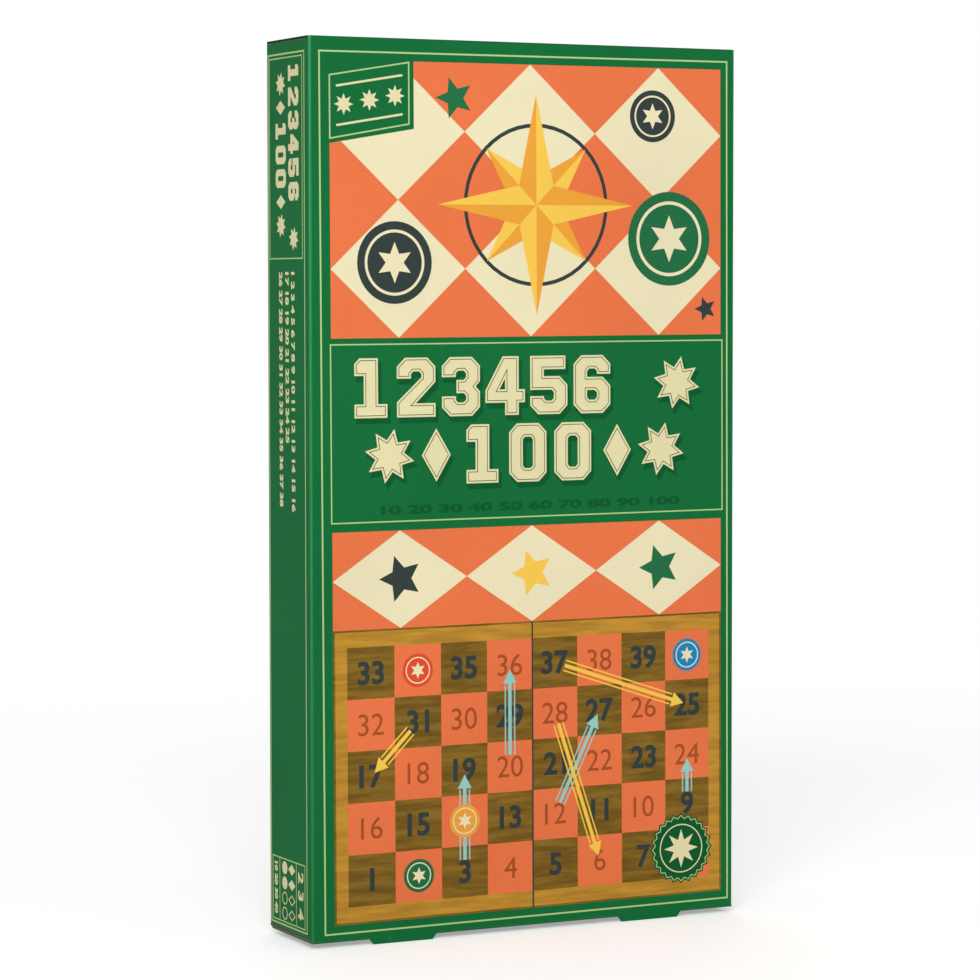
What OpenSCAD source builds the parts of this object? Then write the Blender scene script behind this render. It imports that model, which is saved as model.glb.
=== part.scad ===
// Boxed snakes and ladders game: a tuck-top card carton that holds a folding wooden board
// with its pawns, a die and a rules leaflet.
// The carton stands upright on four die-cut feet. The front panel faces -Y and +Z is up.
// The origin is on the surface that it stands on, under the middle of the carton.

/* [Carton] */
// Width across the front panel
carton_w = 200; // [185:1:230]
// Depth from the front panel to the back panel
carton_d = 45; // [42:0.5:56]
// Height from the bottom crease to the top crease
carton_h = 372; // [340:1:400]
// Thickness of the folded card
card_t = 0.8; // [0.5:0.05:1]
// Outside radius of the four upright creases
crease_r = 1.6; // [1.2:0.1:2.5]

/* [Feet] */
// Drop of the die-cut feet below the bottom crease
foot_drop = 2.2; // [1:0.1:4]
// Width of a foot where it leaves the panel
foot_w = 30.5; // [20:0.5:36]
// How far each end of a foot slants in
foot_slant = 1.8; // [0:0.1:4]
// Distance of a foot's middle from the middle of the carton
foot_reach = 58.5; // [45:0.5:65]

/* [Tuck top] */
// Gap between the lid's ends and the outside of the side panels
lid_end_gap = 0.6; // [0.2:0.1:1.5]
// Gap between the front panel and the lid's front fold
lid_front_gap = 0.3; // [0.2:0.05:0.6]
// Length of the flap that tucks behind the front panel
tuck_l = 14; // [10:0.5:14.5]
// How far the tuck flap leans inwards from upright, in degrees
tuck_lean = 13; // [11.5:0.5:16]
// Gap between the tuck flap's ends and the side panels
tuck_end_gap = 2.4; // [1:0.1:6]
// Radius of the tuck flap's two free corners
tuck_corner_r = 9; // [3:0.5:9.5]
// Length of a dust flap under the lid
dust_flap_l = 36; // [20:1:44]
// Taper of a dust flap's rear edge, in degrees
dust_rear_taper = 18; // [17:0.5:24]
// Taper of a dust flap's front edge, in degrees
dust_front_taper = 5; // [2:0.5:10]
// Corner radius at the tips of the flaps
flap_tip_r = 4; // [1:0.5:6]

/* [Glued bottom] */
// Length of a bottom dust flap
bottom_dust_l = 62; // [40:1:80]
// Width of the glued seam flap inside the back panel
seam_flap_w = 16; // [10:1:25]
// Gap between the ends of the bottom flaps and the outside of the side panels
bottom_end_gap = 0.5; // [0.2:0.1:1.5]

/* [Folding case] */
// Gap between the carton's side panel and the walls of the case, where the hooks are
clasp_room = 11; // [6:0.5:16]
// Gap between the hinge barrels and the carton's side panel
hinge_room = 1; // [0.5:0.1:4]
// Gap between the case and the top dust flaps, where the tuck flap hangs
head_room = 14.6; // [14.2:0.1:30]
// Gap between the case and the front panel
front_room = 1.6; // [1.2:0.1:3]
// Gap between the case and the back panel, where the leaflet is
back_room = 1; // [0.9:0.05:2]
// Thickness of a playing panel
panel_t = 4; // [3:0.5:6]
// Radius of a playing panel's outer edges
panel_edge_r = 1.2; // [0.5:0.1:2]
// How far a playing panel overhangs the walls
panel_lip = 1; // [0.5:0.1:2]
// Thickness of the case's walls
wall_t = 7; // [6.5:0.5:9]
// Gap between the rims of the two halves when they are shut
rim_gap = 0.2; // [0.1:0.05:0.5]
// Gap from the hinge axis to the hinge walls, half the seam of the opened board
seam_gap = 0.1; // [0.05:0.05:0.3]

/* [Playing field] */
// Border above and below the squares
border_w = 9; // [5:0.5:20]
// Width of the engraved lines between the squares
score_w = 0.8; // [0.5:0.1:1.5]
// Depth of the engraved lines
score_depth = 0.4; // [0.2:0.05:0.8]

/* [Butt hinges] */
// Length of a hinge
leaf_l = 30; // [24:1:50]
// Width of a leaf from the axis to its free edge
leaf_w = 12; // [10:0.5:14]
// Thickness of a leaf
leaf_t = 1.2; // [0.8:0.1:1.6]
// Outside radius of the barrel
barrel_r = 2; // [1.8:0.1:2.6]
// Radius of the hinge pin
pin_r = 1; // [0.8:0.05:1.2]
// Radius of a hinge screw's shank
screw_r = 1; // [0.8:0.1:1.2]
// Radius of a hinge screw's countersunk head
screw_head_r = 2; // [1.8:0.1:2.4]
// Length of a hinge screw, head included
screw_l = 6; // [4:0.5:6.2]
// Distance between neighbouring screws
screw_pitch = 9; // [7:0.5:9.5]

/* [Hook clasps] */
// Distance from the parting plane to a hook's pivot, and to its stud
clasp_reach = 7.5; // [6.5:0.5:9]
// Thickness of a hook
hook_t = 1.2; // [0.8:0.1:1.6]
// Width of a hook's arm
hook_arm_w = 3.4; // [2.5:0.1:4.5]
// Radius of the eye that turns on the pivot screw
hook_eye_r = 3.2; // [2.8:0.1:4]
// Width of the metal round the hook's mouth
hook_lip = 1.9; // [1.4:0.1:2.4]
// Play of the hook's mouth on either side of the stud's neck
hook_play = 0.95; // [0.9:0.05:1.1]
// Radius of the stud's neck, and of the shanks in the wood
neck_r = 1; // [0.8:0.1:1.3]
// Radius of the pivot screw's shoulder
shoulder_r = 1.2; // [1:0.1:1.5]
// Radius of the domed heads
dome_r = 2.6; // [2.4:0.1:3]
// Height of the domed heads
dome_h = 1; // [0.8:0.1:1.3]
// Length of the shanks in the wood
shank_l = 5.5; // [4:0.5:6]

/* [Playing pieces] */
// Height of a pawn
pawn_h = 30; // [24:1:40]
// Radius of a pawn's foot
pawn_foot_r = 6.2; // [5:0.1:7]
// Radius of a pawn's head
pawn_head_r = 4.5; // [4:0.1:5.5]
// Radius of a pawn's neck
pawn_neck_r = 2.5; // [1.8:0.1:2.6]
// Height of the straight edge at a pawn's foot
pawn_rim_h = 2; // [1:0.25:4]
// Distance between neighbouring pawns
pawn_pitch = 18; // [15:1:22]
// Side of the die
die_s = 14; // [10:0.5:15]
// Radius of a pip on the die
pip_r = 1.3; // [0.8:0.1:1.6]
// Depth of a pip
pip_depth = 0.6; // [0.3:0.1:0.8]

/* [Rules leaflet] */
// Width of the folded leaflet
leaflet_w = 130; // [90:1:145]
// Height of the folded leaflet
leaflet_h = 200; // [120:1:260]
// Thickness of one leaf
leaflet_t = 0.2; // [0.1:0.05:0.25]
// Gap between the two leaves
leaflet_gap = 0.15; // [0.1:0.05:0.3]

/* [Hidden] */
$fn = 64;

// Colours
card_green = [0.08, 0.42, 0.22];
card_back = [0.72, 0.68, 0.60];
wood_light = [0.80, 0.62, 0.36];
wood_play = [0.85, 0.50, 0.26];
brass_yellow = [0.80, 0.66, 0.32];
paper_white = [0.95, 0.94, 0.90];

// Small clearances, and the overrun of every cut
cut = 1;
crease_gap = 0.1;
slip = 0.6;
knuckle_gap = 0.2;
pin_clear = 0.05;
hole_clear = 0.05;
leaf_gap = 0.1;
barrel_clear = 0.3;
hook_gap = 0.2;
stud_seat = 0.1;
seat_gap = 0.05;

// Levels of the carton's card
bottom_z = foot_drop;
inner_flap_z = bottom_z + card_t;
bottom_dust_z = inner_flap_z + card_t;
floor_z = bottom_dust_z + card_t;
top_z = bottom_z + carton_h;
lid_z = top_z - card_t;
dust_z = lid_z - crease_gap - card_t;
side_top_z = dust_z - crease_gap;
back_top_z = lid_z - crease_gap;
front_top_z = top_z - card_t / 4;

// Faces of the carton
inner_w = carton_w - 2 * card_t;
inner_d = carton_d - 2 * card_t;
front_y = -carton_d / 2;
back_y = carton_d / 2;
lid_front_y = front_y + card_t + lid_front_gap;
lid_l = back_y - lid_front_y;
dust_front_y = lid_front_y + 2 * card_t + slip;
dust_rear_y = back_y - crease_r - crease_gap;
bottom_flap_l = carton_d - crease_r - crease_gap;
bottom_flap_w = carton_w - 2 * bottom_end_gap;
bottom_dust_taper = 3;
tuck_w = inner_w - 2 * tuck_end_gap;
tuck_taper = 4;

// The shut case, placed by its hinge axis, its parting plane and its lower edge
half_d = (inner_d - front_room - back_room) / 2;
hinge_x = inner_w / 2 - hinge_room - barrel_r;
parting_y = back_y - card_t - back_room - half_d;
case_z = floor_z + seat_gap;
case_l = side_top_z - head_room - case_z;
case_w = hinge_x - seam_gap + inner_w / 2 - clasp_room + panel_lip;
rim = rim_gap / 2;
wall_depth = half_d - panel_t - rim;
clasp_x = -seam_gap - case_w + panel_lip;
inner_face = rim + wall_depth;
wall_l = case_l - 2 * panel_lip;
end_wall_w = case_w - panel_lip - 2 * wall_t;
rows = 10;
half_columns = 5;
square_s = (case_l - 2 * border_w) / rows;

// Places of the hinges and clasps up the case, as shares of its length
hinge_shares = [0.2, 0.8];
lower_clasp_share = 0.3;
upper_clasp_share = 0.7;
clasp_shares = [lower_clasp_share, upper_clasp_share];

// Hinge and clasp sizes
screw_places = [-1, 0, 1];
screw_y = (leaf_w + barrel_r) / 2;
screw_head_h = screw_head_r - screw_r;
screw_tip_l = screw_r;
screw_slot_w = screw_head_r / 4;
notch_r = barrel_r + barrel_clear;
knuckle_l = leaf_l / 3;
neck_l = hook_t + 2 * hook_gap;
mouth_r = neck_r + hook_play;
mouth_z = neck_r + stud_seat - mouth_r;
ring_r = mouth_r + hook_lip;
dome_ball_r = (dome_r * dome_r + dome_h * dome_h) / (2 * dome_h);

// Playing pieces stand on the rear half's lower wall
pieces_z = case_z + panel_lip + wall_t + seat_gap;
pieces_y = parting_y + rim + wall_depth / 2;
pawn_hollow = 1.7;
pawn_body_shares = [for (i = [0 : 8]) i / 8];
pawn_body_h = pawn_h - 2 * pawn_head_r - pawn_rim_h + pawn_head_r / 4;
first_pawn_x = -2.5 * pawn_pitch;
die_x = first_pawn_x + 4.5 * pawn_pitch;
die_ball_share = 0.7;
pip_ball_r = (pip_r * pip_r + pip_depth * pip_depth) / (2 * pip_depth);
pip_step = die_s / 4;

// Leaflet
leaflet_full_t = 2 * leaflet_t + leaflet_gap;
leaflet_y = back_y - card_t - (back_room + leaflet_full_t) / 2;
leaflet_x = -leaflet_w / 2 + seam_flap_w / 2;

// Points along an arc about a centre, between two angles
function arc(centre, r, from, to, steps = 8) =
    [for (i = [0 : steps])
        let (a = from + (to - from) * i / steps)
        centre + r * [cos(a), sin(a)]];

// Outline of a flap that runs along +X from its crease, between two tapered edges
function flap_outline(l, y0, y1, taper0, taper1, r) =
    concat(
        [[0, y0]],
        arc([l - r, y0 + (l - r) * tan(taper0) + r / cos(taper0)], r, taper0 - 90, 0),
        arc([l - r, y1 - (l - r) * tan(taper1) - r / cos(taper1)], r, 0, 90 - taper1),
        [[0, y1]]
    );

module round_rect(w, d, r) {
    square([w - 2 * r, d], center = true);
    square([w, d - 2 * r], center = true);
    for (sx = [-1, 1], sy = [-1, 1])
        translate([sx * (w / 2 - r), sy * (d / 2 - r)])
            circle(r);
}

// Runs a section drawn in Y and Z along +X
module along_x(l) {
    rotate([90, 0, 90])
        linear_extrude(l)
            children();
}

// Runs a section drawn in X and Z along +Y
module along_y(l) {
    translate([0, l, 0])
        rotate([90, 0, 0])
            linear_extrude(l)
                children();
}

// Section of a flap along its length, with the outer edge of its crease rounded
module creased_section(l) {
    translate([card_t, 0])
        square([l - card_t, card_t]);
    intersection() {
        square([card_t + cut, card_t]);
        translate([card_t, 0])
            circle(card_t);
    }
}

// A flap that runs along +X from a crease along Y, with its outer face up
module creased_flap(l, y0, y1, taper0, taper1) {
    intersection() {
        linear_extrude(card_t)
            polygon(flap_outline(l, y0, y1, taper0, taper1, flap_tip_r));
        translate([0, y0 - cut, 0])
            along_y(y1 - y0 + 2 * cut)
                creased_section(l + cut);
    }
}

// The card between two levels and two depths of the creased tube
module tube_part(z0, z1, y0, y1) {
    intersection() {
        translate([0, 0, z0])
            linear_extrude(z1 - z0)
                difference() {
                    round_rect(carton_w, carton_d, crease_r);
                    round_rect(inner_w, inner_d, crease_r - card_t);
                }
        translate([-carton_w / 2 - cut, y0, z0 - cut])
            cube([carton_w + 2 * cut, y1 - y0, z1 - z0 + 2 * cut]);
    }
}

// The pair of feet in the plane of a panel, up to the panel's lower edge
module feet(y, panel_z) {
    for (side = [-1, 1])
        translate([side * foot_reach, y, 0])
            along_y(card_t)
                polygon([
                    [-foot_w / 2 + foot_slant, 0], [foot_w / 2 - foot_slant, 0],
                    [foot_w / 2, bottom_z], [foot_w / 2, panel_z],
                    [-foot_w / 2, panel_z], [-foot_w / 2, bottom_z]
                ]);
}

// The pair of openings that the feet leave in a bottom flap, from its crease
module foot_openings(y, z) {
    for (side = [-1, 1])
        translate([side * foot_reach - foot_w / 2 - crease_gap, y, z - cut])
            cube([foot_w + 2 * crease_gap, foot_drop + card_t + cut, card_t + 2 * cut]);
}

module front_panel() {
    color(card_green) {
        tube_part(inner_flap_z, front_top_z, front_y - cut, front_y + crease_r);
        feet(front_y, inner_flap_z);
    }
}

module back_panel() {
    color(card_green) {
        tube_part(bottom_dust_z, back_top_z, back_y - crease_r, back_y + cut);
        feet(back_y - card_t, bottom_dust_z);
    }
}

// A panel between the upright creases, on side -1 or 1
module side_panel(side) {
    color(card_green)
        translate([side * (carton_w - card_t) / 2 - card_t / 2, front_y + crease_r, floor_z])
            cube([card_t, carton_d - 2 * crease_r, side_top_z - floor_z]);
}

module left_panel() {
    side_panel(-1);
}

module right_panel() {
    side_panel(1);
}

// Folded in from the left panel and glued to the inside of the back panel
module seam_flap() {
    color(card_back)
        translate([-carton_w / 2 + crease_r, back_y - 2 * card_t, floor_z + slip])
            cube([seam_flap_w, card_t, back_top_z - floor_z - 2 * slip]);
}

// The outer of the two glued flaps, creased from the front panel
module bottom_outer_flap() {
    color(card_green)
        difference() {
            translate([-bottom_flap_w / 2, front_y, inner_flap_z])
                along_x(bottom_flap_w)
                    mirror([0, 1])
                        creased_section(bottom_flap_l);
            foot_openings(front_y - cut, bottom_z);
        }
}

// The inner of the two glued flaps, creased from the back panel
module bottom_inner_flap() {
    color(card_green)
        difference() {
            translate([-bottom_flap_w / 2, back_y, bottom_dust_z])
                along_x(bottom_flap_w)
                    rotate(180)
                        creased_section(bottom_flap_l);
            foot_openings(back_y - foot_drop - card_t, inner_flap_z);
        }
}

module bottom_dust_flap_left() {
    color(card_green)
        translate([-carton_w / 2, 0, floor_z])
            mirror([0, 0, 1])
                creased_flap(bottom_dust_l, front_y + crease_r + crease_gap,
                    back_y - crease_r - crease_gap, bottom_dust_taper, bottom_dust_taper);
}

module bottom_dust_flap_right() {
    mirror([1, 0, 0])
        bottom_dust_flap_left();
}

// The lid, with the folds at its front and rear rounded, and with a nick at each front
// corner that clears the front panel's creases
module lid_panel() {
    color(card_green)
        difference() {
            translate([-carton_w / 2 + lid_end_gap, 0, lid_z])
                along_x(carton_w - 2 * lid_end_gap)
                    intersection() {
                        translate([lid_front_y, 0])
                            creased_section(lid_l + cut);
                        translate([back_y, 0])
                            mirror([1, 0])
                                creased_section(lid_l + cut);
                    }
            for (side = [-1, 1])
                translate([side * (carton_w / 2 - lid_end_gap), lid_front_y, lid_z - cut])
                    rotate(45)
                        linear_extrude(card_t + 2 * cut)
                            square(crease_r * sqrt(2), center = true);
        }
}

// Hangs from the lid's front fold, and leans away from the front panel
module tuck_flap() {
    color(card_green)
        difference() {
            translate([0, lid_front_y, lid_z])
                rotate([tuck_lean, 0, 0])
                    along_y(card_t)
                        rotate(-90)
                            polygon(flap_outline(tuck_l, -tuck_w / 2, tuck_w / 2,
                                tuck_taper, tuck_taper, tuck_corner_r));
            translate([-carton_w / 2, lid_front_y - cut, lid_z - crease_gap])
                cube([carton_w, card_t + 2 * cut, card_t + cut]);
        }
}

module dust_flap_left() {
    color(card_green)
        translate([-carton_w / 2, 0, dust_z])
            creased_flap(dust_flap_l, dust_front_y, dust_rear_y,
                dust_front_taper, dust_rear_taper);
}

module dust_flap_right() {
    mirror([1, 0, 0])
        dust_flap_left();
}

// One sheet folded once, standing between the case and the back panel
module rules_leaflet() {
    color(paper_white)
        translate([leaflet_x, leaflet_y, floor_z + seat_gap])
            linear_extrude(leaflet_h)
                difference() {
                    union() {
                        translate([leaflet_full_t / 2, 0])
                            square([leaflet_w - leaflet_full_t / 2, leaflet_full_t]);
                        translate([leaflet_full_t / 2, leaflet_full_t / 2])
                            circle(leaflet_full_t / 2);
                    }
                    translate([leaflet_full_t / 2, leaflet_full_t / 2]) {
                        circle(leaflet_gap / 2);
                        translate([0, -leaflet_gap / 2])
                            square([leaflet_w, leaflet_gap]);
                    }
                }
}

// Places a half of the case that is drawn from the hinge axis, the parting plane and the
// lower edge, with its depth along +Y
module rear_half() {
    translate([hinge_x, parting_y, case_z])
        children();
}

module front_half() {
    translate([hinge_x, parting_y, case_z])
        mirror([0, 1, 0])
            children();
}

// Outline of a playing panel across its thickness, with rounded outer edges
module panel_section(l, round_start) {
    square([l, panel_t - panel_edge_r]);
    translate([round_start ? panel_edge_r : 0, 0])
        square([l - panel_edge_r - (round_start ? panel_edge_r : 0), panel_t]);
    translate([l - panel_edge_r, panel_t - panel_edge_r])
        circle(panel_edge_r);
    if (round_start)
        translate([panel_edge_r, panel_t - panel_edge_r])
            circle(panel_edge_r);
}

// The engraved lines between five columns of ten squares, from the seam outwards
module field_lines() {
    field_w = half_columns * square_s;
    for (row = [0 : rows])
        translate([-field_w - score_w / 2, row * square_s - score_w / 2])
            square([field_w + score_w / 2 + cut, score_w]);
    for (column = [1 : half_columns])
        translate([-column * square_s - score_w / 2, -score_w / 2])
            square([score_w, rows * square_s + score_w]);
}

// Half of the playing board, with its squares engraved in the outer face
module play_panel() {
    color(wood_play)
        difference() {
            translate([-seam_gap, inner_face, 0])
                intersection() {
                    mirror([1, 0, 0])
                        linear_extrude(case_l)
                            panel_section(case_w, false);
                    translate([cut, 0, 0])
                        rotate([0, -90, 0])
                            linear_extrude(case_w + 2 * cut)
                                panel_section(case_l, true);
                }
            translate([-seam_gap, half_d - score_depth, border_w])
                along_y(score_depth + cut)
                    field_lines();
        }
}

// Cuts a hinge's place in a wall: the notch for its barrel, the mortise for its leaf and
// the holes for its screws
module hinge_place() {
    cylinder(h = leaf_l + 2 * leaf_gap, r = notch_r, center = true);
    translate([-seam_gap - leaf_t, -cut, -leaf_l / 2 - leaf_gap])
        cube([leaf_t + cut, leaf_w + leaf_gap + cut, leaf_l + 2 * leaf_gap]);
    for (place = screw_places)
        translate([-seam_gap, screw_y, place * screw_pitch])
            rotate([0, -90, 0])
                screw_hole();
}

module hinge_wall() {
    color(wood_light)
        difference() {
            translate([-seam_gap - wall_t, rim, panel_lip])
                cube([wall_t, wall_depth, wall_l]);
            for (share = hinge_shares)
                translate([0, 0, share * case_l])
                    hinge_place();
        }
}

module clasp_wall() {
    color(wood_light)
        difference() {
            translate([clasp_x, rim, panel_lip])
                cube([wall_t, wall_depth, wall_l]);
            for (share = clasp_shares)
                translate([clasp_x - cut, clasp_reach, share * case_l])
                    rotate([0, 90, 0])
                        cylinder(h = shank_l + hole_clear + cut, r = neck_r + hole_clear);
        }
}

// A wall between the hinge wall and the clasp wall
module end_wall(z) {
    color(wood_light)
        translate([-seam_gap - wall_t - end_wall_w, rim, z])
            cube([end_wall_w, wall_depth, wall_t]);
}

module lower_wall() {
    end_wall(panel_lip);
}

module upper_wall() {
    end_wall(case_l - panel_lip - wall_t);
}

module rear_play_panel() {
    rear_half() play_panel();
}

module rear_hinge_wall() {
    rear_half() hinge_wall();
}

module rear_clasp_wall() {
    rear_half() clasp_wall();
}

module rear_lower_wall() {
    rear_half() lower_wall();
}

module rear_upper_wall() {
    rear_half() upper_wall();
}

module front_play_panel() {
    front_half() play_panel();
}

module front_hinge_wall() {
    front_half() hinge_wall();
}

module front_clasp_wall() {
    front_half() clasp_wall();
}

module front_lower_wall() {
    front_half() lower_wall();
}

module front_upper_wall() {
    front_half() upper_wall();
}

// Countersunk clearance hole, going down +Z from the face that the head is flush with
module screw_hole() {
    translate([0, 0, -cut])
        cylinder(h = screw_l + hole_clear + cut, r = screw_r + hole_clear);
    cylinder(h = screw_head_h, r1 = screw_head_r + hole_clear, r2 = screw_r + hole_clear);
    translate([0, 0, -cut])
        cylinder(h = cut, r = screw_head_r + hole_clear);
}

// Countersunk screw with a slotted head, going down +Z from its head's flat
module screw() {
    difference() {
        union() {
            cylinder(h = screw_head_h, r1 = screw_head_r, r2 = screw_r);
            cylinder(h = screw_l - screw_tip_l, r = screw_r);
            translate([0, 0, screw_l - screw_tip_l])
                cylinder(h = screw_tip_l, r1 = screw_r, r2 = screw_r / 4);
        }
        translate([-screw_head_r - cut, -screw_slot_w / 2, -cut])
            cube([2 * (screw_head_r + cut), screw_slot_w, cut + screw_head_h / 2]);
    }
}

// A mortised leaf with its own knuckles, whose places are counted from the middle one
module hinge_leaf(own, other) {
    difference() {
        union() {
            translate([-seam_gap - leaf_t, 0, -leaf_l / 2])
                cube([leaf_t, leaf_w, leaf_l]);
            for (place = own)
                translate([0, 0, place * knuckle_l])
                    cylinder(h = knuckle_l - knuckle_gap, r = barrel_r, center = true);
        }
        for (place = other)
            translate([0, 0, place * knuckle_l])
                cylinder(h = knuckle_l + knuckle_gap, r = notch_r, center = true);
        cylinder(h = leaf_l + 2 * cut, r = pin_r + pin_clear, center = true);
        for (place = screw_places)
            translate([-seam_gap, screw_y, place * screw_pitch])
                rotate([0, -90, 0])
                    screw_hole();
    }
}

module hinge_leaves_rear() {
    color(brass_yellow)
        rear_half()
            for (share = hinge_shares)
                translate([0, 0, share * case_l])
                    hinge_leaf([-1, 1], [0]);
}

module hinge_leaves_front() {
    color(brass_yellow)
        front_half()
            for (share = hinge_shares)
                translate([0, 0, share * case_l])
                    hinge_leaf([0], [-1, 1]);
}

module hinge_pins() {
    color(brass_yellow)
        rear_half()
            for (share = hinge_shares)
                translate([0, 0, share * case_l])
                    cylinder(h = leaf_l, r = pin_r, center = true);
}

module hinge_screws() {
    color(brass_yellow)
        for (share = hinge_shares, place = screw_places)
            translate([-seam_gap, screw_y, share * case_l + place * screw_pitch])
                rotate([0, -90, 0])
                    screw();
}

module hinge_screws_rear() {
    rear_half() hinge_screws();
}

module hinge_screws_front() {
    front_half() hinge_screws();
}

// Outline of a hook from its pivot along +X to its stud, with its mouth open downwards
module hook_outline() {
    difference() {
        union() {
            circle(hook_eye_r);
            translate([0, -hook_arm_w / 2])
                square([2 * clasp_reach - mouth_r, hook_arm_w]);
            translate([2 * clasp_reach, mouth_z])
                circle(ring_r);
        }
        circle(shoulder_r + hole_clear);
        translate([2 * clasp_reach, mouth_z])
            circle(mouth_r);
        translate([2 * clasp_reach - mouth_r, mouth_z - ring_r - cut])
            square([2 * mouth_r, ring_r + cut]);
        translate([2 * clasp_reach - ring_r - cut, mouth_z - ring_r - cut])
            square([2 * (ring_r + cut), cut + ring_r - hook_lip]);
    }
}

// A flat hook in front of the clasp walls, turning on its pivot on the rear half
module clasp_hook(share) {
    color(brass_yellow)
        rear_half()
            translate([clasp_x - hook_gap, clasp_reach, share * case_l])
                rotate([90, 0, -90])
                    linear_extrude(hook_t)
                        hook_outline();
}

module clasp_hook_lower() {
    clasp_hook(lower_clasp_share);
}

module clasp_hook_upper() {
    clasp_hook(upper_clasp_share);
}

// A domed head on a neck, with its shank in the clasp wall
module domed_pin(neck) {
    for (share = clasp_shares)
        translate([clasp_x, clasp_reach, share * case_l])
            rotate([0, -90, 0]) {
                translate([0, 0, -shank_l])
                    cylinder(h = shank_l, r = neck_r);
                cylinder(h = neck_l, r = neck);
                translate([0, 0, neck_l])
                    intersection() {
                        cylinder(h = dome_h, r = dome_r);
                        translate([0, 0, dome_h - dome_ball_r])
                            sphere(dome_ball_r);
                    }
            }
}

module clasp_pivot_screws() {
    color(brass_yellow)
        rear_half() domed_pin(shoulder_r);
}

module clasp_studs() {
    color(brass_yellow)
        front_half() domed_pin(neck_r);
}

// A turned pawn, number 0 to 3 from the clasp side
module pawn(number) {
    body = [for (share = pawn_body_shares) [
        pawn_neck_r + (pawn_foot_r - pawn_neck_r) * pow(1 - share, pawn_hollow),
        pawn_rim_h + share * pawn_body_h
    ]];
    translate([first_pawn_x + number * pawn_pitch, pieces_y, pieces_z]) {
        rotate_extrude()
            polygon(concat([[0, 0], [pawn_foot_r, 0]], body, [[0, pawn_rim_h + pawn_body_h]]));
        translate([0, 0, pawn_h - pawn_head_r])
            sphere(pawn_head_r);
    }
}

module pawn_red() {
    color([0.80, 0.14, 0.12])
        pawn(0);
}

module pawn_green() {
    color([0.12, 0.50, 0.25])
        pawn(1);
}

module pawn_blue() {
    color([0.12, 0.30, 0.65])
        pawn(2);
}

module pawn_yellow() {
    color([0.95, 0.75, 0.15])
        pawn(3);
}

// Places of the pips on a face, in steps from its middle
function pip_places(n) = concat(
    n % 2 == 1 ? [[0, 0]] : [],
    n > 1 ? [[-1, -1], [1, 1]] : [],
    n > 3 ? [[-1, 1], [1, -1]] : [],
    n == 6 ? [[-1, 0], [1, 0]] : []
);

// A die with rounded corners, whose opposite faces add up to seven
module die() {
    turns = [[0, 0, 0], [90, 0, 0], [0, 90, 0], [0, -90, 0], [-90, 0, 0], [180, 0, 0]];
    color(paper_white)
        translate([die_x, pieces_y, pieces_z + die_s / 2])
            difference() {
                intersection() {
                    cube(die_s, center = true);
                    sphere(die_ball_share * die_s);
                }
                for (n = [1 : 6])
                    rotate(turns[n - 1])
                        for (place = pip_places(n))
                            translate([place.x * pip_step, place.y * pip_step,
                                die_s / 2 + pip_ball_r - pip_depth])
                                sphere(pip_ball_r);
            }
}

front_panel();
back_panel();
left_panel();
right_panel();
seam_flap();
bottom_outer_flap();
bottom_inner_flap();
bottom_dust_flap_left();
bottom_dust_flap_right();
lid_panel();
tuck_flap();
dust_flap_left();
dust_flap_right();
rules_leaflet();
rear_play_panel();
rear_hinge_wall();
rear_clasp_wall();
rear_lower_wall();
rear_upper_wall();
front_play_panel();
front_hinge_wall();
front_clasp_wall();
front_lower_wall();
front_upper_wall();
hinge_leaves_rear();
hinge_leaves_front();
hinge_pins();
hinge_screws_rear();
hinge_screws_front();
clasp_hook_lower();
clasp_hook_upper();
clasp_pivot_screws();
clasp_studs();
pawn_red();
pawn_green();
pawn_blue();
pawn_yellow();
die();
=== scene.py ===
import math

import bmesh
import bpy
from mathutils import Matrix, Vector


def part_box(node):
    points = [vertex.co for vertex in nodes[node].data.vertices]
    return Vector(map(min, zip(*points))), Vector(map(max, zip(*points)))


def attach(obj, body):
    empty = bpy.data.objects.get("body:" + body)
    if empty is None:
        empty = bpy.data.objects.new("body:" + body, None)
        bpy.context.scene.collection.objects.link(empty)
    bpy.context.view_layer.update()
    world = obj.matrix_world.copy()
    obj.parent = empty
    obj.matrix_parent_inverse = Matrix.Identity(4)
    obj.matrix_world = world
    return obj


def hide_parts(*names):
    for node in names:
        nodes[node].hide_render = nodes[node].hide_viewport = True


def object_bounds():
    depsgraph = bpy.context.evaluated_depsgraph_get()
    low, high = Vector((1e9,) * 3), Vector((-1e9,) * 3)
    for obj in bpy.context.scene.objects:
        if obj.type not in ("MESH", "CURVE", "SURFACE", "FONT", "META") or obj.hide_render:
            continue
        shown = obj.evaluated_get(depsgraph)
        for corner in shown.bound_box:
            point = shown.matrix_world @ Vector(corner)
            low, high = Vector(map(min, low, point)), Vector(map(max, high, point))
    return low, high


# A boxed board game: a printed tuck-top carton round a folding wooden board with its pieces.
# Lengths are metres, and the flat drawings on the card and the board are in millimetres.

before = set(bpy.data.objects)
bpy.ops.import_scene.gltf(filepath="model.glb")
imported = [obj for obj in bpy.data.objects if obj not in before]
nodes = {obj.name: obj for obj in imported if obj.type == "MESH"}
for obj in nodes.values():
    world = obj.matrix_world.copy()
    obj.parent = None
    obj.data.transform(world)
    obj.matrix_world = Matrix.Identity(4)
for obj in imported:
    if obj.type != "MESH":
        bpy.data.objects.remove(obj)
cad_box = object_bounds()

MM = 0.001
CARTON_LOW, CARTON_HIGH = cad_box


# Colours and shader nodes

def screen(red, green, blue):
    """A colour given as it is seen on a screen, in linear light."""
    channels = [channel / 255 for channel in (red, green, blue)]
    linear = [c / 12.92 if c <= 0.04045 else ((c + 0.055) / 1.055) ** 2.4 for c in channels]
    return (*linear, 1.0)


def shade(colour, share):
    return (*(min(1.0, channel * share) for channel in colour[:3]), 1.0)


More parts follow.
